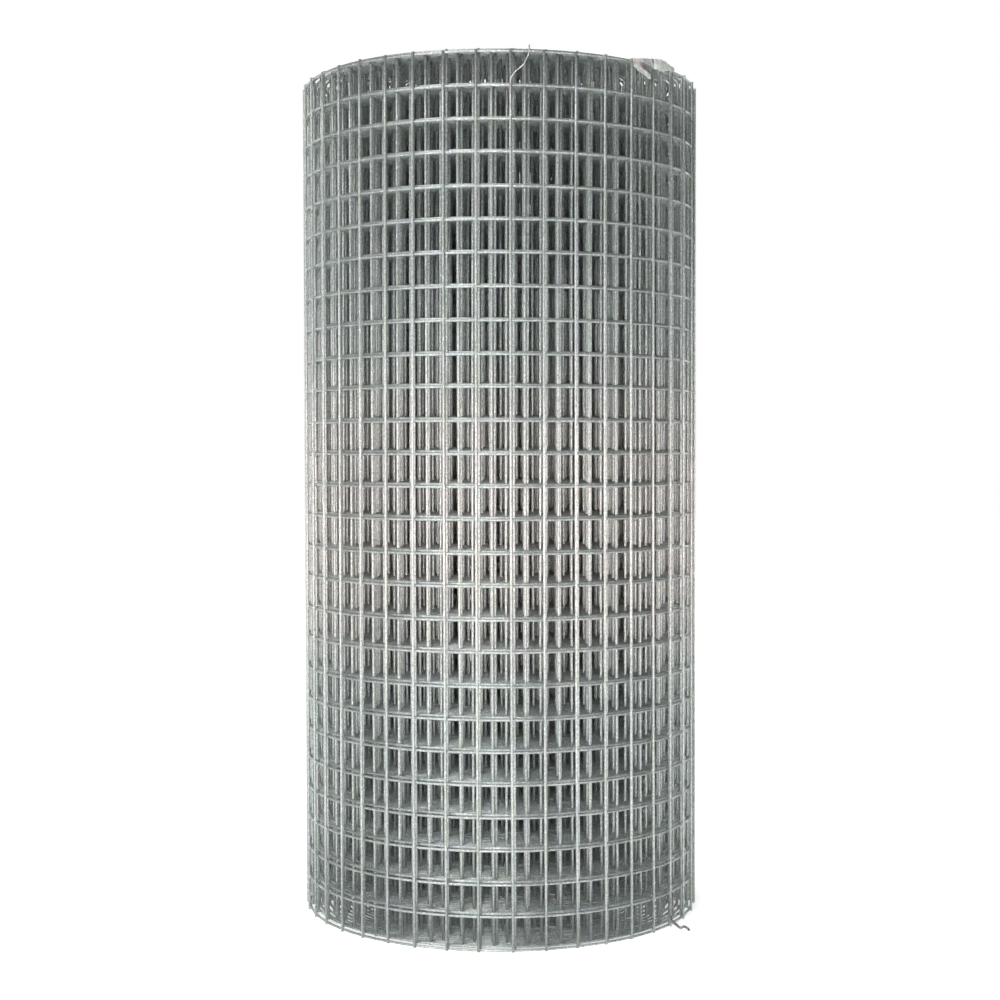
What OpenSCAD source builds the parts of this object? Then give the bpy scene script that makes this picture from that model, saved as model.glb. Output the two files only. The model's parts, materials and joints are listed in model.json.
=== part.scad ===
// A roll of fine galvanised welded wire mesh, standing on its end.
// The origin is the centre of the lower end, on the axis of the bore.
// +Z runs up the roll, and -Y is its front.

/* [Mesh] */
// Side of one square opening, from wire centre to wire centre
mesh_cell = 19; // [10:0.5:50]
// Thickness of the mesh wire
wire_d = 1.6; // [0.8:0.05:2.5]
// How deep a weld sinks a cross wire into a line wire
weld_sink = 0.25; // [0:0.05:0.4]
// Openings across the width of the mesh, which is the height of the roll
cells_high = 27; // [4:1:60]
// How far the cut cross wires stand past the two edge wires
stub_l = 0.5; // [0.2:0.1:3]

/* [Roll] */
// Diameter of the open bore
bore_d = 70; // [30:1:120]
// Number of turns
turns = 30; // [4:1:45]
// Air between one turn and the next
turn_slack = 0.05; // [0.05:0.05:1]
// Depth of the groove between two turns, on both ends
groove_depth = 2; // [0.5:0.1:4]
// Width of that groove at its mouth
groove_w = 1.2; // [0.5:0.1:1.5]

/* [Tie wires] */
// Thickness of the soft tie wire
tie_d = 0.7; // [0.4:0.05:1.2]
// Where the top tie crosses the rim, in degrees to the right of the front
top_tie_rim_az = 8; // [-20:0.5:20]
// Where the top tie runs down beside a cross wire, in degrees to the right of the front
top_tie_foot_az = 3.3; // [-20:0.1:20]
// How many turns the top tie reaches over on the upper end
top_tie_reach = 2; // [1:1:3]
// Place of the bottom tie, in degrees to the right of the front
low_tie_az = 56; // [45:1:80]
// How far the twisted tail of the bottom tie sticks out of the roll
tail_l = 15.5; // [8:0.5:25]

/* [Label] */
// Left end of the label, in degrees to the right of the front
label_from_az = 38; // [20:1:42]
// Right end of the label, in degrees to the right of the front
label_to_az = 56.5; // [50:0.5:70]
// How far the label is tucked in over the upper end
label_tuck = 4; // [2:0.5:8]
// How far the label hangs down outside the roll
label_drop = 6; // [3:0.5:9]
// How far its torn strip hangs down
strip_drop = 12; // [10:0.5:20]
// Width of the torn strip
strip_w = 4; // [2:0.5:6]
// Thickness of the crumpled paper
label_t = 0.4; // [0.3:0.1:1]

/* [Seats] */
// Clearance between the roll and what is tied or tucked onto it
seat_gap = 0.3; // [0.2:0.05:0.5]

/* [Hidden] */
$fn = 96;

// Each turn is a line wire thick, and a cross wire less its weld.
turn_pitch = 2 * wire_d - weld_sink + turn_slack;
bore_r = bore_d / 2;
roll_r = bore_r + turns * turn_pitch - turn_slack;
roll_h = cells_high * mesh_cell + wire_d + 2 * stub_l;
top_row_z = roll_h - stub_l - wire_d / 2;
bottom_row_z = stub_l + wire_d / 2;

galvanised = [0.60, 0.62, 0.60];
soft_wire = [0.55, 0.54, 0.53];
off_white = [0.84, 0.82, 0.78];

// A point by its distance from the axis, its angle from the front and its height
function at(r, az, z) = [r * sin(az), -r * cos(az), z];
// The level direction round the roll at an angle
function around(az) = [cos(az), sin(az), 0];
function unit(v) = v / norm(v);
function between(a, b, t) = a + (b - a) * t;

// Half of the roll's section seen from the axis: flat crests for the turns,
// with a V groove between each two, on both ends.
groove_r = [for (i = [1:turns - 1]) bore_r + i * turn_pitch - turn_slack / 2];
lower_end = [
    for (r = groove_r)
        each [[r - groove_w / 2, 0], [r, groove_depth], [r + groove_w / 2, 0]]
];
upper_end = [
    for (i = [len(lower_end) - 1:-1:0])
        [lower_end[i][0], roll_h - lower_end[i][1]]
];

module mesh_roll() {
    color(galvanised)
        rotate_extrude()
            polygon(concat(
                [[bore_r, 0]], lower_end, [[roll_r, 0], [roll_r, roll_h]],
                upper_end, [[bore_r, roll_h]]
            ));
}

// A round wire along a route of [radius, angle, height, thickness].
// Its rings are set by the level direction round the roll.
wire_sides = 8;
module swept_wire(route) {
    last = len(route) - 1;
    points = [for (p = route) at(p[0], p[1], p[2])];
    rings = [
        for (i = [0:last])
            let (
                along = unit(points[min(i + 1, last)] - points[max(i - 1, 0)]),
                level = around(route[i][1]),
                across = unit(level - (level * along) * along),
                out = cross(along, across)
            )
            for (k = [0:wire_sides - 1])
                let (turn = 360 * k / wire_sides)
                points[i] + route[i][3] / 2 * (cos(turn) * across + sin(turn) * out)
    ];
    walls = [
        for (i = [0:last - 1], k = [0:wire_sides - 1])
            let (
                a = i * wire_sides + k,
                b = i * wire_sides + (k + 1) % wire_sides,
                c = b + wire_sides,
                d = a + wire_sides
            )
            each [[a, d, c], [a, c, b]]
    ];
    first_cap = [for (k = [0:wire_sides - 1]) k];
    last_cap = [for (k = [wire_sides - 1:-1:0]) last * wire_sides + k];
    polyhedron(points = rings, faces = concat(walls, [first_cap, last_cap]));
}

// The top tie lies across the outer turns, bends over the rim, slants down
// one opening and then runs beside a cross wire to the third row.
tie_off = seat_gap + tie_d / 2;
slant_from = [roll_r + tie_off, top_tie_rim_az, roll_h - 2];
slant_to = [roll_r + tie_off, top_tie_foot_az, top_row_z - mesh_cell + wire_d];
top_tie_route = [
    for (r = [roll_r - top_tie_reach * turn_pitch, roll_r - wire_d])
        [r, top_tie_rim_az, roll_h + tie_off, tie_d],
    for (bend = [90:-30:0])
        [
            roll_r + tie_off * cos(bend), top_tie_rim_az,
            roll_h + tie_off * sin(bend), tie_d
        ],
    for (t = [0:0.25:1])
        concat(between(slant_from, slant_to, t), tie_d),
    for (drop = [1.3, 2])
        [roll_r + tie_off, top_tie_foot_az, top_row_z - drop * mesh_cell, tie_d]
];

module tie_wire_top() {
    color(soft_wire) swept_wire(top_tie_route);
}

// The bottom tie runs down the outer turn, and its two ends are twisted into
// a curled tail that points away from the roll just above the ground.
tail_d = 2 * tie_d;
tail_low_z = tie_d + 0.4;
tail_high_z = tail_low_z + 1.7;
low_tie_route = [
    [roll_r + tie_off, low_tie_az, bottom_row_z + mesh_cell, tie_d],
    [roll_r + tie_off, low_tie_az, 9, tie_d],
    [roll_r + seat_gap + tail_d / 2, low_tie_az, 5, tail_d],
    [roll_r + seat_gap + tail_d / 2 + 0.6, low_tie_az, 3.2, tail_d],
    [roll_r + 0.3 * tail_l, low_tie_az - 0.8, 2.2, tail_d],
    [roll_r + 0.55 * tail_l, low_tie_az - 1.7, tail_low_z, tail_d],
    [roll_r + 0.7 * tail_l, low_tie_az - 1.9, tail_high_z, tail_d],
    [roll_r + 0.85 * tail_l, low_tie_az - 2, tail_high_z - 0.3, tail_d],
    [roll_r + tail_l, low_tie_az - 2.3, tail_low_z, tail_d]
];

module tie_wire_bottom() {
    color(soft_wire) swept_wire(low_tie_route);
}

// The label is a small sheet bent over the rim. Seen from outside, it has a
// fold that sags to the right and one torn strip that hangs from its left end.
label_r = roll_r + seat_gap;
label_z = roll_h + seat_gap;
label_mid_az = (label_from_az + label_to_az) / 2;
label_half_w = roll_r * sin((label_to_az - label_from_az) / 2);
label_profile = [
    [roll_r - label_tuck, label_z],
    [label_r, label_z],
    [label_r, roll_h - strip_drop],
    [label_r + label_t, roll_h - strip_drop],
    [label_r + label_t, label_z + label_t],
    [roll_r - label_tuck, label_z + label_t]
];
above_label = seat_gap + 2 * label_t;
strip_tip = -label_half_w / 4;
fold_outline = [
    [-label_half_w - 1, above_label],
    [-label_half_w - 1, -label_drop / 2],
    [0, -0.7 * label_drop],
    [label_half_w / 3, -label_drop],
    [label_half_w + 1, -label_drop / 6],
    [label_half_w + 1, above_label]
];
strip_outline = [
    [-label_half_w - 1, 0],
    [-label_half_w - 1, -label_drop / 2 - strip_w],
    [strip_tip - strip_w / 3, -strip_drop - 1],
    [strip_tip + strip_w / 3, -strip_drop - 1],
    [-label_half_w / 2, -label_drop / 2]
];

module bent_sheet() {
    rotate([0, 0, label_from_az - 90])
        rotate_extrude(angle = label_to_az - label_from_az)
            polygon(label_profile);
}

module label() {
    color(off_white)
        intersection() {
            bent_sheet();
            rotate([90, 0, label_mid_az])
                linear_extrude(2 * roll_r)
                    translate([0, roll_h]) {
                        polygon(fold_outline);
                        polygon(strip_outline);
                    }
        }
}

mesh_roll();
tie_wire_top();
tie_wire_bottom();
label();
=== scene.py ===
# %% [markdown]
# # A roll of galvanised welded wire mesh
#
# The roll stands on its end. It is one long strip of mesh: line wires run
# along the strip, and cross wires are welded over them at every opening.
# Wound up, the line wires turn into spirals and the cross wires stand upright.
#
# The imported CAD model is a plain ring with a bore. It fixes the size and the
# place of everything here, so it is loaded first and never moved.

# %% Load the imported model
import json
import math
import random
from functools import partial

import bmesh
import bpy
import numpy as np
from mathutils import Matrix, Vector, noise


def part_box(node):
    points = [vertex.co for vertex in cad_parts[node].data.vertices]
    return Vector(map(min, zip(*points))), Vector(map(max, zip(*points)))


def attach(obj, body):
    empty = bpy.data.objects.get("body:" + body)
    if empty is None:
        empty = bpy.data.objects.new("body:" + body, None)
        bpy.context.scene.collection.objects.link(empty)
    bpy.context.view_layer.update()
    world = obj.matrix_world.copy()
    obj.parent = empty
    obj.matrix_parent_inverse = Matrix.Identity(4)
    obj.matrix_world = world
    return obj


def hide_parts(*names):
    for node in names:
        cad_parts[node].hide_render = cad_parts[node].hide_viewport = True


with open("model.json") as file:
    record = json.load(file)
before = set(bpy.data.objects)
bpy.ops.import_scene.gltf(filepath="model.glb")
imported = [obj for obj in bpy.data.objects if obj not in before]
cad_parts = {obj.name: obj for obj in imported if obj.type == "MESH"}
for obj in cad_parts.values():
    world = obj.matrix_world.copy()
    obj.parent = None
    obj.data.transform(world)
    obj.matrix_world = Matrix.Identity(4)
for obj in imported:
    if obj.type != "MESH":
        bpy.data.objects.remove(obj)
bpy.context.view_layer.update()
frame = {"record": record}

MM = 0.001
roll_low, roll_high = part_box("mesh_roll")
bore = next(mount for mount in frame["record"]["mounts"] if mount["name"] == "bore")
roll_h = roll_high.z - roll_low.z
roll_r = roll_high.x
bore_r = bore["dims"]["r_mm"] * MM
print(f"roll: {roll_h / MM:.1f} mm high, radius {roll_r / MM:.1f} mm, bore radius {bore_r / MM:.1f} mm")

# %% [markdown]
# ## The camera
#
# The camera stands a good metre from the roll and nearly level with its middle,
# as for a catalogue. From there the rims curve clearly, and neither end of the
# roll can be looked into. The camera comes first, because the size of every
# detail is judged through it.

# %% Camera
camera_aside = 0.7 * MM               # to the right of the axis
camera_distance = 1112 * MM           # in front of the axis
camera_height = 287.8 * MM
camera_dip = math.radians(1.643)      # how far it looks down
camera_tilt = math.radians(0.125)     # how far it is off level

camera_data = bpy.data.cameras.new("camera")
camera_data.sensor_width = 36.0
camera_data.lens = 62.64
camera = bpy.data.objects.new("camera", camera_data)
camera.location = (camera_aside, -camera_distance, camera_height)
camera.rotation_euler = (math.radians(90) - camera_dip, camera_tilt, 0)
bpy.context.scene.collection.objects.link(camera)
bpy.context.scene.camera = camera
print(f"camera: {camera_distance:.2f} m from the axis and {camera_height:.2f} m up")

# %% [markdown]
# ## The strip of mesh
#
# Welded mesh is sold by its opening and its wire gauge. The wire here is a 16
# gauge one, 1.6 mm. The openings that fit between the two edge wires give the
# height of the roll, so the opening is worked out from the height of the CAD
# ring and not typed in again. So is the number of turns, from its wall.

# %% Sizes of the mesh
wire_r = 0.8 * MM
openings_high = 27                    # from one edge wire to the other
stub = 0.5 * MM                       # how far a cut end stands past the edge wire
weld_sink = 0.25 * MM                 # how deep a weld sinks one wire into the other
turn_slack = 0.05 * MM                # air between one turn and the next
cell = (roll_h - 2 * stub - 2 * wire_r) / openings_high
low_row_z = stub + wire_r
cross_offset = 2 * wire_r - weld_sink
pitch = cross_offset + 2 * wire_r + turn_slack
turns = round((roll_r - bore_r) / pitch)
print(f"opening {cell / MM:.2f} mm, {turns} turns at {pitch / MM:.2f} mm")

# %% [markdown]
# ## The spiral
#
# A true spiral can't be spun in one go, because its radius changes all the
# way. A spiral of half turns can: each half turn is a plain arc, and its
# centre lies a quarter of the pitch to one side of the axis, then to the other.
# bmesh's spin makes each arc, and the last ring of one arc is the first ring of
# the next.

# %% The spiral as half turns
FULL = 2 * math.pi
hop = pitch / 4                       # from the axis to the centre of an arc
# The cross wires at the loose end, outside the line wires, reach the roll's radius.
first_radius = roll_r - hop - wire_r - cross_offset
loose_end_azimuth = math.radians(128)     # to the right of the front, so at the back


def arc(half_turn):
    """Centre and radius of one half turn, counted inwards from the loose end."""
    side = 1 if half_turn % 2 == 0 else -1
    return Vector((side * hop, 0, 0)), first_radius - half_turn * 2 * hop


def on_spiral(angle):
    """Point on a line wire's middle, and the way outwards, at an angle from the loose end."""
    centre, radius = arc(int(angle // math.pi))
    outwards = Vector((math.cos(angle), -math.sin(angle), 0))
    return centre + radius * outwards, outwards


wound_angles = [math.pi * half_turn for half_turn in range(2 * turns + 1)]
wound_lengths = [0.0]
for half_turn in range(2 * turns):
    wound_lengths.append(wound_lengths[-1] + math.pi * arc(half_turn)[1])
print(f"length of mesh in the roll: {wound_lengths[-1]:.2f} m")

# %% [markdown]
# ## How the turns have settled
#
# No roll is wound perfectly. Each turn slips a little up or down against the
# last, the strip is fed in slightly askew so that its cross wires lean, and
# the wires of one turn fall beside those of the turn under it by any part of
# an opening. All of this changes slowly along the strip, so it is given once
# for each turn, where it passes the front, and changes evenly in between.
# Seeded random numbers are right for it: nobody chose where a turn came to
# lie, but the roll has to come out the same each time.

# %% What each turn does where it passes the front
random.seed(11)
front_azimuth = math.radians(2.7)
fronts = [loose_end_azimuth - front_azimuth + FULL * turn for turn in range(turns)]

# How far a turn's cross wires lie beside those of the outer turn, as a share of an opening
beside = [0.0, 0.1] + [random.uniform(0.0, 1.0) for _ in range(turns - 2)]
# How far a turn has slipped up: the outer turn sags, and the inner ones have crept upwards
slips = [-0.6 * MM, 0.5 * MM, 0.4 * MM]
most_slip = 2.6 * MM
while len(slips) < turns:
    slips.append(min(slips[-1] + random.uniform(-0.1, 0.5) * MM, most_slip))
# How far its cross wires lean, with the two ends going opposite ways
leans = [0.1 * MM] + [random.uniform(-0.4, 0.6) * MM for _ in range(turns - 1)]
# How far its cross wires are bowed, with both ends going the same way
bows = [0.6 * MM] + [random.uniform(0.2, 1.0) * MM for _ in range(turns - 1)]

print(f"turns slipped by {min(slips) / MM:.1f} to {max(slips) / MM:.1f} mm")

# The welder's line wires aren't quite evenly spaced, apart from the lowest.
uneven = 0.4 * MM
row_z = [low_row_z] + [
    low_row_z + row * cell + random.uniform(-uneven, uneven) for row in range(1, openings_high + 1)
]

# %% [markdown]
# ## Places on the strip
#
# A place on the strip is an angle from the loose end, and each full turn adds
# a full circle to it. The cross wires are an opening apart along the strip and
# not round the roll, so their places are counted out in lengths of mesh and
# then turned into angles. One stretch of the second turn stands a little
# proud, which shows at the left of the rim.

# %% Slip and cross wires by their place on the strip
raised_angle = FULL + loose_end_azimuth + math.radians(50)      # on the second turn, left of the front
raised_reach = math.radians(45)
raised_by = 0.7 * MM


def along(angle, values):
    """A value for a place on the strip, between the values of the turns."""
    return np.interp(angle, fronts, values)


def slip(angle):
    """How far the strip has slipped up at an angle from the loose end."""
    raised = np.clip(1 - ((angle - raised_angle) / raised_reach) ** 2, 0, 1)
    return along(angle, slips) + raised_by * raised


misplaced = 0.4 * MM                  # how far the welder sets a cross wire off its place
knocked = 0.4 * MM                    # how far handling bends its ends


def cross_wire_angles():
    """The angle of each cross wire from the loose end."""
    marks = list(np.interp(fronts, wound_angles, wound_lengths))
    counts = [0.0]
    for turn in range(turns - 1):
        part = (beside[turn + 1] - beside[turn]) % 1.0
        openings = (marks[turn + 1] - marks[turn]) / cell
        counts.append(counts[-1] + round(openings - part) + part)
    counts = [-marks[0] / cell] + counts + [counts[-1] + (wound_lengths[-1] - marks[-1]) / cell]
    marks = [0.0] + marks + [wound_lengths[-1]]
    wires = range(math.ceil(counts[0]), math.floor(counts[-1]) + 1)
    lengths = [
        np.interp(wire, counts, marks) + random.uniform(-misplaced, misplaced) for wire in wires
    ]
    return [float(angle) for angle in np.interp(lengths, wound_lengths, wound_angles)]


wire_angles = cross_wire_angles()
print(f"{len(wire_angles)} cross wires")

# %% [markdown]
# ## Line wires
#
# A curve with a round bevel would do for a line wire, but the steps of a spin
# are easier to count: it is a ring of a few points, spun through its half turns.
# The inner turns are hardly seen, so they get fewer steps and sides. Each
# group of turns becomes a piece of its own, which keeps every piece light.


# %% Wind one line wire
line_wire_place = 1                   # of the line wires' finish, after that of the cross wires


def reshape(mesh, rule):
    """Moves the points of a mesh by a rule on an array of points."""
    points = np.empty(len(mesh.vertices) * 3)
    mesh.vertices.foreach_get("co", points)
    points = points.reshape(-1, 3)
    rule(points)
    mesh.vertices.foreach_set("co", points.ravel())
    mesh.update()


def slip_line_wire(points):
    """Lifts each point of a wound wire by the slip at its place on the strip."""
    radius = np.hypot(points[:, 0], points[:, 1])
    angle = np.arctan2(-points[:, 1], points[:, 0]) % FULL
    turn = np.round((first_radius + hop - radius) / pitch - angle / FULL)
    points[:, 2] += slip(angle + FULL * turn)


def closed_mesh(bm, name):
    """Caps the open ends, turns the faces outwards and gives the mesh."""
    bmesh.ops.holes_fill(bm, edges=[edge for edge in bm.edges if edge.is_boundary], sides=0)
    bmesh.ops.recalc_face_normals(bm, faces=bm.faces)
    mesh = bpy.data.meshes.new(name)
    bm.to_mesh(mesh)
    bm.free()
    return mesh


def wind_line_wire(first_turn, last_turn, steps, sides):
    """A mesh of one line wire from first_turn up to last_turn, at height 0."""
    bm = bmesh.new()
    start, _ = on_spiral(first_turn * FULL)
    placed = Matrix.Translation(start) @ Matrix.Rotation(math.pi / 2, 4, "X")
    bmesh.ops.create_circle(bm, segments=sides, radius=wire_r, matrix=placed)
    ends = bm.verts[:] + bm.edges[:]
    for half_turn in range(2 * first_turn, 2 * last_turn):
        centre, _ = arc(half_turn)
        ends = bmesh.ops.spin(
            bm, geom=ends, cent=centre, axis=(0, 0, -1), angle=math.pi,
            steps=steps, use_merge=False, use_duplicate=False,
        )["geom_last"]
    mesh = closed_mesh(bm, "line_wire")
    mesh.polygons.foreach_set("material_index", [line_wire_place] * len(mesh.polygons))
    reshape(mesh, slip_line_wire)
    return mesh


# %% [markdown]
# ## Cross wires
#
# A cross wire is nearly straight. It lies outside the line wires and is welded
# to each of them, and its cut ends stand a little past the edge wires. Zinc
# fills the corners of a weld, so each one is a squashed ball between the wires.


# %% Make one cross wire and its welds
def straight_wire(sides, steps):
    """A mesh of one cross wire on the Z axis."""
    bm = bmesh.new()
    bmesh.ops.create_circle(bm, segments=sides, radius=wire_r)
    ends = bm.verts[:] + bm.edges[:]
    bmesh.ops.spin(
        bm, geom=ends, axis=(0, 0, 1), angle=0, dvec=(0, 0, roll_h / steps),
        steps=steps, use_merge=False, use_duplicate=False,
    )
    return closed_mesh(bm, "cross_wire")


def weld_lumps():
    """A mesh of the zinc lumps along one cross wire, which is on the Z axis."""
    bm = bmesh.new()
    for z in row_z:
        place = Matrix.Translation((-cross_offset / 2, 0, z))
        squash = Matrix.Diagonal((0.9, random.uniform(1.1, 1.4), random.uniform(1.1, 1.5), 1))
        turned = Matrix.Rotation(random.uniform(0, FULL), 4, "X")
        bmesh.ops.create_icosphere(bm, subdivisions=1, radius=wire_r, matrix=place @ squash @ turned)
    mesh = bpy.data.meshes.new("weld_lumps")
    bm.to_mesh(mesh)
    bm.free()
    return mesh


def stand_upright(mesh, angle, own_lean):
    """Stands a cross wire at an angle from the loose end, and bends it as its turn is bent."""
    def lean(points):
        height = (points[:, 2] - roll_h / 2) / (roll_h / 2)
        points[:, 1] += (along(angle, leans) + own_lean) * height + along(angle, bows) * height ** 2
        points[:, 2] += slip(angle)

    reshape(mesh, lean)
    point, outwards = on_spiral(angle)
    mesh.transform(Matrix.Translation(point + cross_offset * outwards) @ Matrix.Rotation(-angle, 4, "Z"))


def cut_to_length(mesh):
    """Cuts a cross wire just past the edge wires, a little unevenly."""
    low = row_z[0] - wire_r + random.uniform(-0.6, 0.6) * stub
    high = row_z[-1] + wire_r - random.uniform(-0.4, 0.8) * stub

    def cut(points):
        points[:, 2] = np.interp(points[:, 2], [0, roll_h], [low, high])

    reshape(mesh, cut)


# %% [markdown]
# ## Putting the turns together
#
# All line wires of a group are copies of one wound wire, one at each height,
# and all its cross wires are copies of one straight wire. They are joined into
# one mesh: hundreds of separate objects would be slow, and a real roll is one
# piece. The spiral was drawn from the loose end, so the last step turns the
# loose end to its place at the back.

# %% Wind a group of turns
to_front = Matrix.Rotation(loose_end_azimuth - math.pi / 2, 4, "Z")
ground = 0.02 * MM                    # a little above the floor, so that the two stay apart


def rest_on_ground(points):
    """Flattens what has slipped below the ground."""
    points[:, 2] = np.maximum(points[:, 2], ground)


def add_copy(bm, source, *changes):
    """Adds a copy of the source mesh to bm, after one change or more."""
    copy = source.copy()
    for change in changes:
        change(copy)
    bm.from_mesh(copy)
    bpy.data.meshes.remove(copy)


def wind_turns(name, first_turn, last_turn, steps, sides, wire_steps, lumps):
    """One piece of the roll: the turns from first_turn up to last_turn."""
    bm = bmesh.new()
    line_wire = wind_line_wire(first_turn, last_turn, steps, sides)
    for z in row_z:
        add_copy(bm, line_wire, lambda copy: copy.transform(Matrix.Translation((0, 0, z))))
    inside = [angle for angle in wire_angles if first_turn <= angle / FULL < last_turn]
    cross_wire = straight_wire(sides, wire_steps)
    for angle in inside:
        stand = partial(stand_upright, angle=angle, own_lean=random.uniform(-knocked, knocked))
        add_copy(bm, cross_wire, cut_to_length, stand)
        if lumps:
            add_copy(bm, weld_lumps(), stand)
    mesh = bpy.data.meshes.new(name)
    bm.to_mesh(mesh)
    bm.free()
    reshape(mesh, rest_on_ground)
    mesh.transform(to_front)
    mesh.shade_smooth()
    piece = bpy.data.objects.new(name, mesh)
    bpy.context.scene.collection.objects.link(piece)
    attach(piece, "root")
    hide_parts("mesh_roll")
    mesh.calc_loop_triangles()
    print(f"{name}: {len(mesh.loop_triangles)} triangles, {len(inside)} cross wires")
    return piece


# First and last turn, steps of a half turn, sides, steps of a cross wire, and whether welds show
turn_pieces = [
    wind_turns("outer_turns", 0, 2, 36, 8, 9, True),
    wind_turns("second_turns", 2, 4, 32, 8, 9, True),
    wind_turns("third_turns", 4, 8, 28, 6, 9, False),
    wind_turns("middle_turns", 8, 17, 20, 6, 4, False),
    wind_turns("inner_turns", 17, turns, 16, 5, 4, False),
]

# %% [markdown]
# ## The two tie wires
#
# Soft wire about half as thick as the mesh holds the last turn. The top tie
# lies over the rim, slants down across one opening and then runs beside a cross
# wire. The bottom tie ends in a pigtail: its two ends, twisted together. A
# curve with a round bevel is right for wire, since the wire keeps its thickness
# through every bend. Each route starts from the box of the CAD tie it replaces.

# %% The route of the top tie
tie_r = 0.35 * MM


def beside_roll(outwards, azimuth, height):
    """A point by its mm outside the roll, its degrees to the right of the front, and its height."""
    turned = math.radians(azimuth)
    radius = roll_r + outwards * MM
    return Vector((radius * math.sin(turned), -radius * math.cos(turned), height))


top_tie_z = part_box("tie_wire_top")[1].z
top_tie_route = [
    beside_roll(outwards, azimuth, top_tie_z - below * MM)
    for outwards, azimuth, below in [
        (-5.6, 8.8, 1.9), (-5.2, 8.6, 0.5), (-3.0, 8.4, 0.35), (-0.5, 8.2, 0.4), (0.55, 8.05, 1.4),
        (0.65, 8.0, 5.0), (0.5, 7.3, 8.6), (0.6, 6.9, 10.6), (0.4, 5.5, 13.6), (0.6, 4.5, 15.5),
        (0.4, 3.45, 19.0), (0.5, 3.2, 25.0), (0.4, 3.25, 33.0), (0.2, 3.3, 38.3), (-0.7, 3.4, 40.2),
    ]
]

# %% The routes of the bottom tie
low_tie_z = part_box("tie_wire_bottom")[0].z
tail_route = [
    beside_roll(outwards, azimuth, low_tie_z + above * MM)
    for outwards, azimuth, above in [
        (1.0, 55.2, 4.0), (2.0, 55.2, 3.2), (4.6, 54.8, 2.2), (8.3, 54.3, 0.9),
        (10.6, 54.1, 2.4), (13.0, 54.0, 2.3), (15.3, 53.7, 0.8),
    ]
]
upper_end = [
    beside_roll(outwards, azimuth, low_tie_z + above * MM)
    for outwards, azimuth, above in [
        (-0.6, 56.7, 19.6), (0.5, 56.3, 19.2), (0.7, 56.1, 13.0), (0.6, 56.0, 7.0),
    ]
]
lower_end = [
    beside_roll(outwards, azimuth, low_tie_z + above * MM)
    for outwards, azimuth, above in [(-1.6, 53.2, 6.0), (0.1, 54.2, 6.6), (0.8, 55.2, 6.2)]
]


lay = 2.6 * MM                        # length of one full twist
points_in_lay = 7
strand_off = 1.3 * tie_r              # from the middle of the twist to a strand's own middle
look_ahead = 0.5 * MM


def twisted(route, start):
    """Points of one strand that twists round a route; start turns it to its own side."""
    steps = [0.0]
    for before, after in zip(route, route[1:]):
        steps.append(steps[-1] + (after - before).length)
    points = []
    for run in np.arange(0.0, steps[-1], lay / points_in_lay):
        here, ahead = (
            Vector([np.interp(place, steps, [point[axis] for point in route]) for axis in range(3)])
            for place in (run, run + look_ahead)
        )
        forwards = (ahead - here).normalized()
        across = forwards.cross(Vector((0, 0, 1))).normalized()
        turn = start + FULL * run / lay
        sideways = math.cos(turn) * across + math.sin(turn) * across.cross(forwards)
        points.append(here + strand_off * sideways)
    return points


# %% [markdown]
# ## From a curve to a mesh
#
# The curve is turned into a mesh here, and not left to the export. Its box is
# then the true box of the wire, its ends can be closed, and its seams merged.


# %% Make the tie wires
merge_distance = 0.001 * MM


def bent_wire(name, routes, node, thicker=1.0):
    """A piece of round soft wire along one or more routes, in place of a CAD node."""
    curve = bpy.data.curves.new(name, "CURVE")
    curve.dimensions = "3D"
    curve.bevel_depth = thicker * tie_r
    curve.bevel_resolution = 2
    curve.resolution_u = 4
    curve.use_fill_caps = True
    for route in routes:
        spline = curve.splines.new("BEZIER")
        spline.bezier_points.add(len(route) - 1)
        for knot, place in zip(spline.bezier_points, route):
            knot.co = place
            knot.handle_left_type = "AUTO"
            knot.handle_right_type = "AUTO"
    drawn = bpy.data.objects.new(name, curve)
    bpy.context.scene.collection.objects.link(drawn)
    evaluated = drawn.evaluated_get(bpy.context.evaluated_depsgraph_get())
    bm = bmesh.new()
    bm.from_mesh(evaluated.to_mesh())
    bpy.data.objects.remove(drawn)
    bmesh.ops.remove_doubles(bm, verts=bm.verts, dist=merge_distance)
    mesh = closed_mesh(bm, name)
    mesh.shade_smooth()
    piece = bpy.data.objects.new(name, mesh)
    bpy.context.scene.collection.objects.link(piece)
    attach(piece, "root")
    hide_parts(node)
    print(f"{name}: {len(routes)} strands, {len(mesh.polygons)} faces")
    return piece


top_tie = bent_wire("top_tie", [top_tie_route], "tie_wire_top")
bottom_tie = bent_wire(
    "bottom_tie",
    [upper_end + twisted(tail_route, 0.0), lower_end + twisted(tail_route, math.pi)],
    "tie_wire_bottom", thicker=1.3,
)

# %% [markdown]
# ## The label
#
# A small bare paper label hangs over the rim. It is torn and crumpled: a flap
# covers the edge of the roll, a lobe at its right end bulges past a crease, and
# a strip has torn loose and hangs into the opening below. Cloth simulation
# would give soft folds, but paper keeps sharp creases. So a fine flat grid is
# cut to the torn outline first, and then bent over the rim and creased by noise.

# %% Outline of the label
paper_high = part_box("label")[1]
label_left = 38.0                     # degrees to the right of the front
label_right = 56.2
crease_azimuth = 46.5
tuck = 4 * MM                         # how far it lies in over the rim
hang = 12.6 * MM                      # how far it hangs down outside
paper_t = 0.12 * MM
paper_step = 0.33 * MM

# Each outline gives degrees to the right of the front, and mm below the rim.
flap_edge = (
    [38, 41, 43, 44.8, 46.4, 47.8, 50.6, 53, 55.5, 56.2],
    [1.2, 2.0, 3.4, 4.8, 5.8, 6.2, 6.5, 4.5, 3.1, 1.5],
)
strip_low_edge = ([38.3, 38.8, 41.8, 43.6, 44.9, 45.3], [5.6, 7.4, 10.4, 11.7, 12.5, 11.8])
strip_top_edge = ([38.3, 40.7, 43.2, 44.6, 45.3], [1.0, 1.6, 5.2, 8.6, 11.2])
tuck_edge = ([38, 42, 47, 50, 53, 56.2], [-0.4, -1.6, -3.0, -3.8, -2.6, -0.4])
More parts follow.
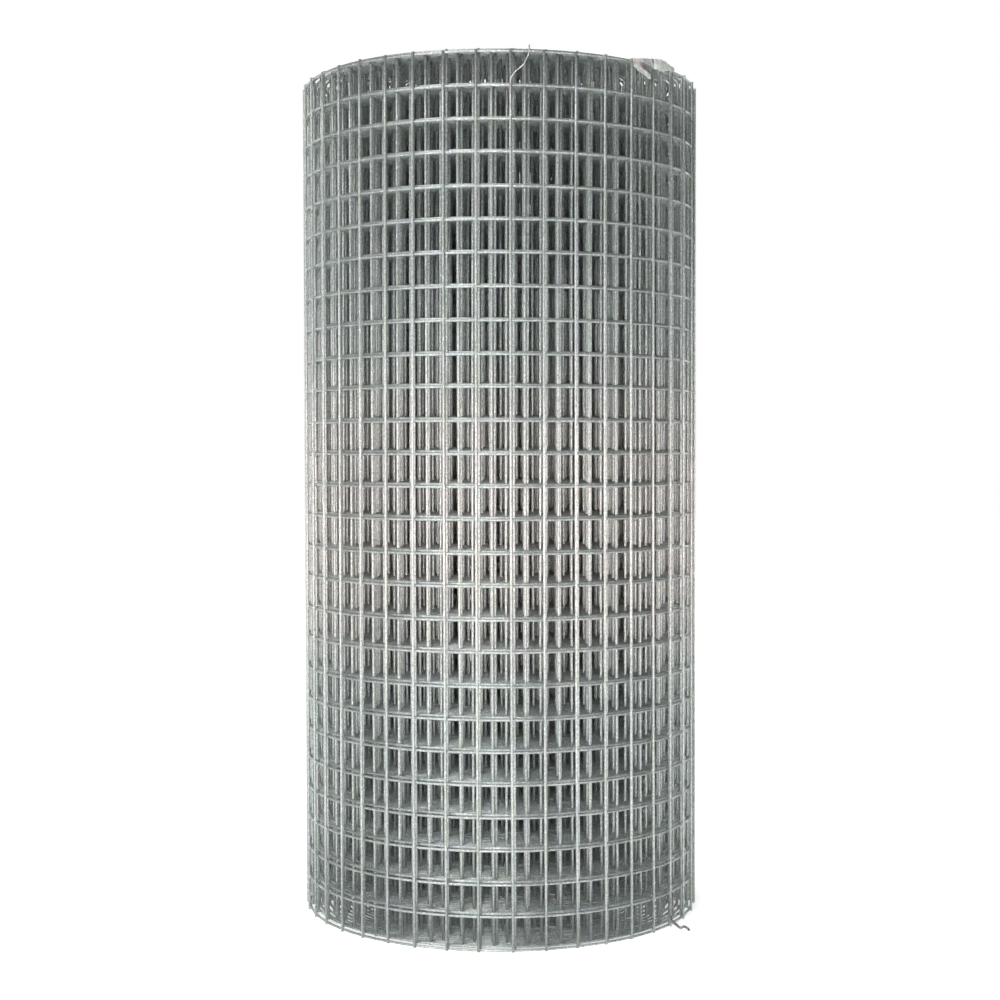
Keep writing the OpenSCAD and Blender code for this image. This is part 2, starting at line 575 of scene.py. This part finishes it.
# How far the fold stands up over the rim, in mm
rim_rise = ([38, 41.2, 44, 47.4, 49.6, 52, 55.8], [-2.3, -1.5, -0.7, 0.2, 0.8, 0.5, -1.3])


def in_label(azimuth, below):
    """True inside the torn outline, at mm below the rim."""
    ragged = 0.3 * noise.noise(Vector((azimuth * 1.7, below * 1.3, 0)))
    in_flap = np.interp(azimuth, *tuck_edge) < below < np.interp(azimuth, *flap_edge) + ragged
    low = np.interp(azimuth, *strip_low_edge) + ragged
    top = np.interp(azimuth, *strip_top_edge) + ragged
    in_strip = strip_low_edge[0][0] < azimuth < strip_low_edge[0][-1] and top < below < low
    return in_flap or in_strip


# %% Cut the label out and bend it over the rim
def bent_over_rim(azimuth, below):
    """Place of a point of the paper, with its bulges and creases."""
    rise = np.interp(azimuth, *rim_rise)
    spot = Vector((azimuth * 0.75, below * 0.35, 3.7))
    crease = abs(noise.noise(spot)) + 0.45 * abs(noise.noise(spot * 2.3))
    if below < 0:
        return beside_roll(0.3 + below, azimuth, paper_high.z + (rise + 0.9 * crease) * MM)
    if azimuth < crease_azimuth:
        fold = below - np.interp(azimuth, *flap_edge)
        outwards = 1.2 + np.interp(fold, [-4, -0.2, 0.6, 3.0], [0.0, 0.5, -0.6, 0.4]) - 0.06 * below
    else:
        outwards = np.interp(below, [0, 2.5, 5.0, 7], [0.3, 1.6, 1.5, 0.9])
    outwards -= 1.0 * max(0.0, 1 - abs(azimuth - crease_azimuth) / 0.6)
    fade = max(0.0, 1 - below / 8)
    return beside_roll(outwards + 0.9 * crease, azimuth, paper_high.z + (rise * fade - below) * MM)


def torn_label():
    """A thin sheet of torn, creased paper."""
    arc_length = math.radians(label_right - label_left) * roll_r
    bm = bmesh.new()
    bmesh.ops.create_grid(
        bm, x_segments=round(arc_length / paper_step),
        y_segments=round((hang + tuck) / paper_step), size=0.5,
    )
    for vert in bm.verts:
        azimuth = label_left + (vert.co.x + 0.5) * (label_right - label_left)
        vert.co = Vector((azimuth, -tuck / MM + (0.5 - vert.co.y) * (hang + tuck) / MM, 0))
    outside = [face for face in bm.faces if not in_label(*face.calc_center_median()[:2])]
    bmesh.ops.delete(bm, geom=outside, context="FACES")
    for vert in bm.verts:
        vert.co = bent_over_rim(vert.co.x, vert.co.y)
    bmesh.ops.smooth_vert(bm, verts=bm.verts, factor=0.5, use_axis_x=True, use_axis_y=True, use_axis_z=True)
    bmesh.ops.recalc_face_normals(bm, faces=bm.faces)
    bmesh.ops.solidify(bm, geom=bm.faces, thickness=paper_t)
    bmesh.ops.recalc_face_normals(bm, faces=bm.faces)
    mesh = bpy.data.meshes.new("paper_label")
    bm.to_mesh(mesh)
    bm.free()
    mesh.shade_smooth()
    return mesh


label = bpy.data.objects.new("paper_label", torn_label())
bpy.context.scene.collection.objects.link(label)
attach(label, "root")
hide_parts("label")
print(f"label: {len(label.data.polygons)} faces")

# %% [markdown]
# ## Node materials as Python expressions
#
# A procedural finish is a formula: some noise, stretched here, cut off there,
# mixed into a colour. Node by node it takes pages. So a small class wraps a
# number that changes over the surface, and plus, minus and times on it add
# the Math nodes. Colours never go through a Math node, which would turn them
# grey: they are blended by a Mix node. All noise is on Object coordinates, so
# a pattern keeps its real size on every piece.


# %% A small kit for materials
class Number:
    """A number that changes over a surface; sums and products on it add Math nodes."""

    def __init__(self, finish, socket):
        self.finish = finish
        self.socket = socket

    def __add__(self, other):
        return self.finish.math("ADD", self, other)

    def __sub__(self, other):
        return self.finish.math("SUBTRACT", self, other)

    def __mul__(self, other):
        return self.finish.math("MULTIPLY", self, other)

    def __rsub__(self, other):
        return self.finish.math("SUBTRACT", other, self)

    __radd__ = __add__
    __rmul__ = __mul__


class Finish:
    """One procedural material on Object coordinates."""

    def __init__(self, name):
        self.material = bpy.data.materials.new(name)
        self.material.use_nodes = True
        self.tree = self.material.node_tree
        self.surface = self.tree.nodes["Principled BSDF"]
        self.place = self.tree.nodes.new("ShaderNodeTexCoord").outputs["Object"]

    def node(self, kind, settings, inputs):
        """Adds a node: its settings first, then values or links for its sockets."""
        made = self.tree.nodes.new(kind)
        for name, value in settings.items():
            setattr(made, name, value)
        for name, value in inputs.items():
            self.feed(made.inputs[name], value)
        return made

    def feed(self, socket, value):
        """Links a socket to a Number or another socket, or sets it to a value."""
        if isinstance(value, Number):
            value = value.socket
        if isinstance(value, bpy.types.NodeSocket):
            self.tree.links.new(value, socket)
        else:
            socket.default_value = value

    def math(self, operation, first, second):
        made = self.node("ShaderNodeMath", {"operation": operation}, {0: first, 1: second})
        return Number(self, made.outputs[0])

    def noise(self, size, detail=2.0, roughness=0.5, stretch=(1, 1, 1)):
        """Cloudy noise whose lumps are about size metres across."""
        moved = self.node("ShaderNodeMapping", {}, {"Vector": self.place, "Scale": stretch})
        made = self.node(
            "ShaderNodeTexNoise", {},
            {"Vector": moved.outputs[0], "Scale": 1 / size, "Detail": detail, "Roughness": roughness},
        )
        return Number(self, made.outputs[0])

    def between(self, value, low, high):
        """The value spread so that low becomes 0 and high becomes 1."""
        made = self.node(
            "ShaderNodeMapRange", {"interpolation_type": "SMOOTHSTEP"},
            {"Value": value, "From Min": low, "From Max": high},
        )
        return Number(self, made.outputs[0])

    def blend(self, share, first, second):
        """A colour between two colours."""
        made = self.node("ShaderNodeMix", {"data_type": "RGBA"}, {0: share, 6: first, 7: second})
        return made.outputs[2]

    def bump(self, height, depth, strength=1.0):
        made = self.node(
            "ShaderNodeBump", {}, {"Height": height, "Distance": depth, "Strength": strength}
        )
        return made.outputs[0]


# %% [markdown]
# ## Zinc
#
# Zinc on drawn wire is never one grey. It drifts between olive, mauve and
# blue-grey over an opening or so, it is streaked along the wire, and close up it
# is mottled. At mid-height a warm band of painted light is mixed in, mostly on
# the cross wires, for the warm tint of the bright band that the front lamps make.
# A wire's sheen stretches along it or across it, which the shader's anisotropy
# does, turned a quarter for the wires that lie level. Cross wires and line wires
# get a finish each, because their streaks run different ways.


# %% The finish of galvanised wire
# A warm band of painted light round the middle height, for the bright band that the front lamps make.
painted_light_z = 0.48 * roll_h
painted_light_full = 20 * MM                  # the painted warm light is full this near to its middle height
painted_light_gone = 130 * MM
painted_warm_light = (0.77, 0.66, 0.61, 1)
worn_zinc = (0.24, 0.27, 0.265, 1)
fresh_zinc = (0.78, 0.80, 0.765, 1)
dull_zinc = (0.38, 0.415, 0.405, 1)
bright_zinc = (0.80, 0.82, 0.80, 1)


def galvanised(name, grain, sheen, streak, painted_light, olive, mauve, plain):
    """Dull zinc on drawn wire: patchy, streaked along the wire, and mottled, with a warm band of painted
    light at mid-height.
    """
    zinc = Finish(name)
    drift = zinc.noise(16 * MM, 3)
    streaks = zinc.noise(7 * MM, 3, 0.6, streak)
    mottle = zinc.noise(1.2 * MM, 3, 0.6)
    grit = zinc.noise(0.35 * MM, 2)
    patches = zinc.blend(zinc.between(drift, 0.36, 0.5), olive, plain)
    patches = zinc.blend(zinc.between(drift, 0.52, 0.64), patches, mauve)
    height = Number(zinc, zinc.node("ShaderNodeSeparateXYZ", {}, {0: zinc.place}).outputs[2])
    # Painted light: a warm band at mid-height, mostly on the cross wires.
    from_painted_light = zinc.math("ABSOLUTE", height - painted_light_z, 0.0)
    in_painted_light = painted_light * (1 - zinc.between(from_painted_light, painted_light_full, painted_light_gone))
    patches = zinc.blend(in_painted_light, patches, painted_warm_light)
    worn = zinc.blend(0.3 * zinc.between(streaks, 0.5, 0.38), patches, worn_zinc)
    fresh = zinc.blend(0.55 * zinc.between(streaks, 0.52, 0.66), worn, fresh_zinc)
    dull = zinc.blend(zinc.between(mottle, 0.35, 0.52), dull_zinc, fresh)
    colour = zinc.blend(zinc.between(mottle, 0.54, 0.68), dull, bright_zinc)
    zinc.feed(zinc.surface.inputs["Base Color"], colour)
    zinc.feed(zinc.surface.inputs["Metallic"], 0.6)
    zinc.feed(zinc.surface.inputs["Roughness"], 0.36 + 0.22 * mottle)
    zinc.feed(zinc.surface.inputs["Anisotropic"], sheen)
    zinc.feed(zinc.surface.inputs["Anisotropic Rotation"], grain)
    zinc.feed(zinc.surface.inputs["Normal"], zinc.bump(mottle + 0.4 * grit, 0.05 * MM))
    print(f"{name}: {len(zinc.tree.nodes)} nodes")
    return zinc.material


cross_wire_finish = galvanised(
    "galvanised_cross_wire", grain=0.0, sheen=0.78, streak=(1, 1, 0.12), painted_light=0.62,
    olive=(0.535, 0.585, 0.505, 1), mauve=(0.59, 0.57, 0.595, 1), plain=(0.56, 0.615, 0.605, 1),
)
line_wire_finish = galvanised(
    "galvanised_line_wire", grain=0.25, sheen=0.8, streak=(0.4, 0.4, 1), painted_light=0.15,
    olive=(0.49, 0.54, 0.505, 1), mauve=(0.515, 0.52, 0.545, 1), plain=(0.49, 0.545, 0.54, 1),
)
for piece in turn_pieces:
    piece.data.materials.append(cross_wire_finish)
    piece.data.materials.append(line_wire_finish)

# %% [markdown]
# ## Soft wire
#
# Tie wire is annealed, which leaves a dark scale on it, and bending rubs the
# scale off in places. The tie at the bottom is dark and the one at the top is
# bright. Two finishes would do, but one serves both and picks its colours by
# its height on the roll.


# %% The finish of the tie wires
def soft_wire():
    """Annealed wire: a dark scale with bright rubbed places, worn by bending."""
    wire = Finish("soft_tie_wire")
    rubbed = wire.between(wire.noise(2.5 * MM, 3), 0.4, 0.65)
    scale = wire.noise(0.5 * MM, 2)
    height = wire.node("ShaderNodeSeparateXYZ", {}, {0: wire.place})
    raised = wire.between(Number(wire, height.outputs[2]), 30 * MM, 60 * MM)
    dark = wire.blend(rubbed, (0.19, 0.175, 0.165, 1), (0.36, 0.34, 0.33, 1))
    bright = wire.blend(rubbed, (0.62, 0.57, 0.57, 1), (0.80, 0.76, 0.76, 1))
    wire.feed(wire.surface.inputs["Base Color"], wire.blend(raised, dark, bright))
    wire.feed(wire.surface.inputs["Metallic"], 0.7)
    wire.feed(wire.surface.inputs["Roughness"], 0.3 + 0.2 * scale)
    wire.feed(wire.surface.inputs["Normal"], wire.bump(scale, 0.04 * MM))
    print(f"soft tie wire: {len(wire.tree.nodes)} nodes")
    return wire.material


tie_finish = soft_wire()
for piece in (top_tie, bottom_tie):
    piece.data.materials.append(tie_finish)

# %% [markdown]
# ## Paper
#
# Old paper isn't one white, and some of its shade is painted. The flap is painted
# grey, as shade on the fold that faces up, and it has a yellowish hem. The paper
# that shows under the hem is pinkish, with a painted shadow of the hem over it
# towards the right, and a dark line of painted shade runs down the top of the
# crease. The torn strip and the lobe are clean, and dirt is mottled over the
# whole label. Each of these is a colour behind a mask, and most masks are a
# straight edge on the paper: a height below the rim less a share of the way to
# the right. A painted image could hold more, but a bare label of 40 mm doesn't
# need one.


# %% The finish of the label
def creased_paper():
    """Bare paper: a flap painted grey as shade, a greenish lobe, a clean torn strip and painted shade in
    the crease.
    """
    paper = Finish("creased_paper")
    place = paper.node("ShaderNodeSeparateXYZ", {}, {0: paper.place})
    right = Number(paper, place.outputs[0])
    below = paper_high.z - Number(paper, place.outputs[2])
    dirt = paper.between(paper.noise(3 * MM, 4, 0.6), 0.45, 0.62)
    fibres = paper.noise(0.3 * MM, 3, 0.7, (1, 1, 0.3))
    crease_x = roll_r * math.sin(math.radians(crease_azimuth))
    strip_x = roll_r * math.sin(math.radians(strip_top_edge[0][0]))
    along_strip = right - strip_x
    past_hem = below - 0.36 * along_strip
    in_hem = paper.between(past_hem, 0.1 * MM, 0.6 * MM)
    inside = paper.between(past_hem, 1.0 * MM, 1.4 * MM)
    # Painted shadow: the paper under the hem goes dark towards the right, where the hem shades it.
    painted_fold_shadow = inside * paper.between(along_strip, 4 * MM, 8 * MM)
    in_strip = paper.between(below - 0.48 * along_strip, 3.4 * MM, 4.6 * MM)
    in_lobe = paper.between(right, crease_x - 0.6 * MM, crease_x + 1.2 * MM)
    # Painted shade: a dark line in the crease, down to about 3 mm below the rim.
    painted_crease_shade = 1 - paper.between(paper.math("ABSOLUTE", right - crease_x, 0.0), 0.2 * MM, 0.8 * MM)
    painted_crease_shade = painted_crease_shade * (1 - paper.between(below, 2.0 * MM, 3.2 * MM))
    # The flap's grey is painted shade, for the fold that faces up; its yellowish hem is the paper's own.
    flap = paper.blend(in_hem, (0.62, 0.62, 0.63, 1), (0.78, 0.80, 0.72, 1))
    flap = paper.blend(inside, flap, (0.84, 0.76, 0.735, 1))
    flap = paper.blend(painted_fold_shadow, flap, (0.22, 0.18, 0.16, 1))
    torn = paper.blend(in_strip, flap, (0.93, 0.95, 0.94, 1))
    lobe = paper.blend(in_lobe, torn, (0.90, 0.95, 0.87, 1))
    soiled = paper.blend(0.3 * dirt, lobe, (0.50, 0.47, 0.44, 1))
    colour = paper.blend(0.9 * painted_crease_shade, soiled, (0.10, 0.09, 0.08, 1))
    paper.feed(paper.surface.inputs["Base Color"], colour)
    paper.feed(paper.surface.inputs["Roughness"], 0.75 + 0.15 * fibres)
    paper.feed(paper.surface.inputs["Normal"], paper.bump(fibres, 0.05 * MM))
    print(f"creased paper: {len(paper.tree.nodes)} nodes")
    return paper.material


label.data.materials.append(creased_paper())

# %% [markdown]
# ## The floor and the backdrop
#
# The floor is a pale matt sheet, which keeps the soft shadow of the roll. It
# looks white because it glows for the camera. Zinc is half a mirror, so it has
# to see the white floor too, and the glow is there for glossy rays as well. For
# all other light the floor is only pale paint. Close round the foot of the roll
# the glow is weaker, where a real floor is in shade. The world is white in the
# same way, for the camera and for reflections.


# %% Floor and backdrop
def stage_sheet(name, width, height, place):
    """A flat sheet of the studio, which isn't part of the roll."""
    bm = bmesh.new()
    size = Matrix.Diagonal((width / 2, height / 2, 1, 1))
    bmesh.ops.create_grid(bm, x_segments=1, y_segments=1, size=1, matrix=place @ size)
    mesh = bpy.data.meshes.new(name)
    bm.to_mesh(mesh)
    bm.free()
    sheet = bpy.data.objects.new(name, mesh)
    bpy.context.scene.collection.objects.link(sheet)
    return sheet


floor = stage_sheet("floor", 12, 12, Matrix.Identity(4))
paint = Finish("floor_paint")
paint.feed(paint.surface.inputs["Base Color"], (0.85, 0.85, 0.85, 1))
paint.feed(paint.surface.inputs["Roughness"], 0.9)
path = paint.node("ShaderNodeLightPath", {}, {})
away = Number(paint, paint.node(
    "ShaderNodeVectorMath", {"operation": "LENGTH"}, {0: paint.place}
).outputs["Value"])
far = paint.between(away, 0.5, 1.6)
foot_glow = 0.65
round_foot = foot_glow + (1 - foot_glow) * paint.between(away, 116 * MM, 140 * MM)
seen_glow = (0.95 + 0.05 * far) * Number(paint, path.outputs["Is Camera Ray"])
glow = round_foot * (seen_glow + Number(paint, path.outputs["Is Glossy Ray"]))
paint.feed(paint.surface.inputs["Emission Color"], glow)
paint.surface.inputs["Emission Strength"].default_value = 1.0
floor.data.materials.append(paint.material)

world = bpy.data.worlds.new("studio")
bpy.context.scene.world = world
world.use_nodes = True
tree = world.node_tree
background = tree.nodes["Background"]
path = tree.nodes.new("ShaderNodeLightPath")
seen = tree.nodes.new("ShaderNodeMath")
seen.operation = "MAXIMUM"
tree.links.new(path.outputs["Is Camera Ray"], seen.inputs[0])
tree.links.new(path.outputs["Is Glossy Ray"], seen.inputs[1])
level = tree.nodes.new("ShaderNodeMapRange")
tree.links.new(seen.outputs[0], level.inputs["Value"])
level.inputs["To Min"].default_value = 0.05          # what the world adds as light
level.inputs["To Max"].default_value = 1.0           # how it is seen
tree.links.new(level.outputs[0], background.inputs["Strength"])
background.inputs["Color"].default_value = (1, 1, 1, 1)

# %% [markdown]
# ## Lamps
#
# All lamps are white. Three small ones stand in front, nearly level with the
# middle of the roll, and the sheen of the upright wires spreads their light into
# the bright band across it. A softbox at the upper left and a long fill lamp at
# the left light the rest. Two lamps at the back keep that side from going dark
# when the roll is looked at from behind. A lamp's energy depends on its size,
# so each is set by its radiance, and the energy is worked out from that.


# %% Lamps
def lamp(name, place, size, radiance, aim_z=roll_h / 2):
    """A rectangular white lamp that faces the axis of the roll at a height."""
    data = bpy.data.lights.new(name, "AREA")
    data.shape = "RECTANGLE"
    data.size, data.size_y = size
    data.energy = radiance * math.pi * size[0] * size[1]
    made = bpy.data.objects.new(name, data)
    made.location = place
    made.rotation_euler = (Vector((0, 0, aim_z)) - place).to_track_quat("-Z", "Y").to_euler()
    made.visible_camera = False
    bpy.context.scene.collection.objects.link(made)
    return made


def round_the_roll(distance, azimuth, height):
    """A place in the studio by its degrees to the right of the front."""
    turned = math.radians(azimuth)
    return Vector((distance * math.sin(turned), -distance * math.cos(turned), height))


small = (0.3, 0.16)                   # width and height
band_z = 0.24                         # height of the bright band on the roll
lamps = [lamp("front_lamp", round_the_roll(1.3, 0, band_z), small, 32.0, band_z)]
for azimuth in (-40, 40):
    place = round_the_roll(1.3, azimuth, band_z)
    lamps.append(lamp(f"side_lamp_{azimuth + 40}", place, small, 10.8, band_z))
lamps.append(lamp("fill_lamp", round_the_roll(2.0, -45, 0.95), (1.8, 0.6), 2.4))
lamps.append(lamp("softbox", round_the_roll(1.41, -30, 1.94), (1.2, 1.2), 4.8))
for azimuth in (140, 220):
    lamps.append(lamp(f"back_lamp_{azimuth}", round_the_roll(2.0, azimuth, 0.7), (1.2, 0.6), 2.4))
print(f"{len(lamps)} lamps")

# %% [markdown]
# ## Black cloth
#
# In an all-white room every wire would mirror white from all sides, and the
# roll would look like pale plastic. Studios hang black cloth round shiny
# things for that reason. Here twelve cloths stand in a ring outside the lamps,
# with one above, and the camera looks through them.

# %% Black cloth round the studio
cloths = 12
cloth_distance = 4.0
cloth_w = 2.16
cloth_h = 3.7
cloth_z = 2.15                        # height of the middle of a cloth
black = Finish("black_cloth")
black.feed(black.surface.inputs["Base Color"], (0.03, 0.03, 0.03, 1))
black.feed(black.surface.inputs["Roughness"], 0.9)
for index in range(cloths):
    turned = Matrix.Rotation(FULL * index / cloths, 4, "Z")
    upright = Matrix.Translation((0, -cloth_distance, cloth_z)) @ Matrix.Rotation(math.pi / 2, 4, "X")
    flag = stage_sheet(f"flag_{index}", cloth_w, cloth_h, turned @ upright)
    flag.data.materials.append(black.material)
    flag.visible_camera = False
ceiling = stage_sheet("ceiling_cloth", 8, 8, Matrix.Translation((0, 0, 4.0)))
ceiling.data.materials.append(black.material)
ceiling.visible_camera = False
print(f"{cloths} cloths round the studio and one above")

# %% [markdown]
# ## The view, and the end
#
# The standard view keeps colours as they are written.

# %% The view transform
bpy.context.scene.view_settings.view_transform = "Standard"
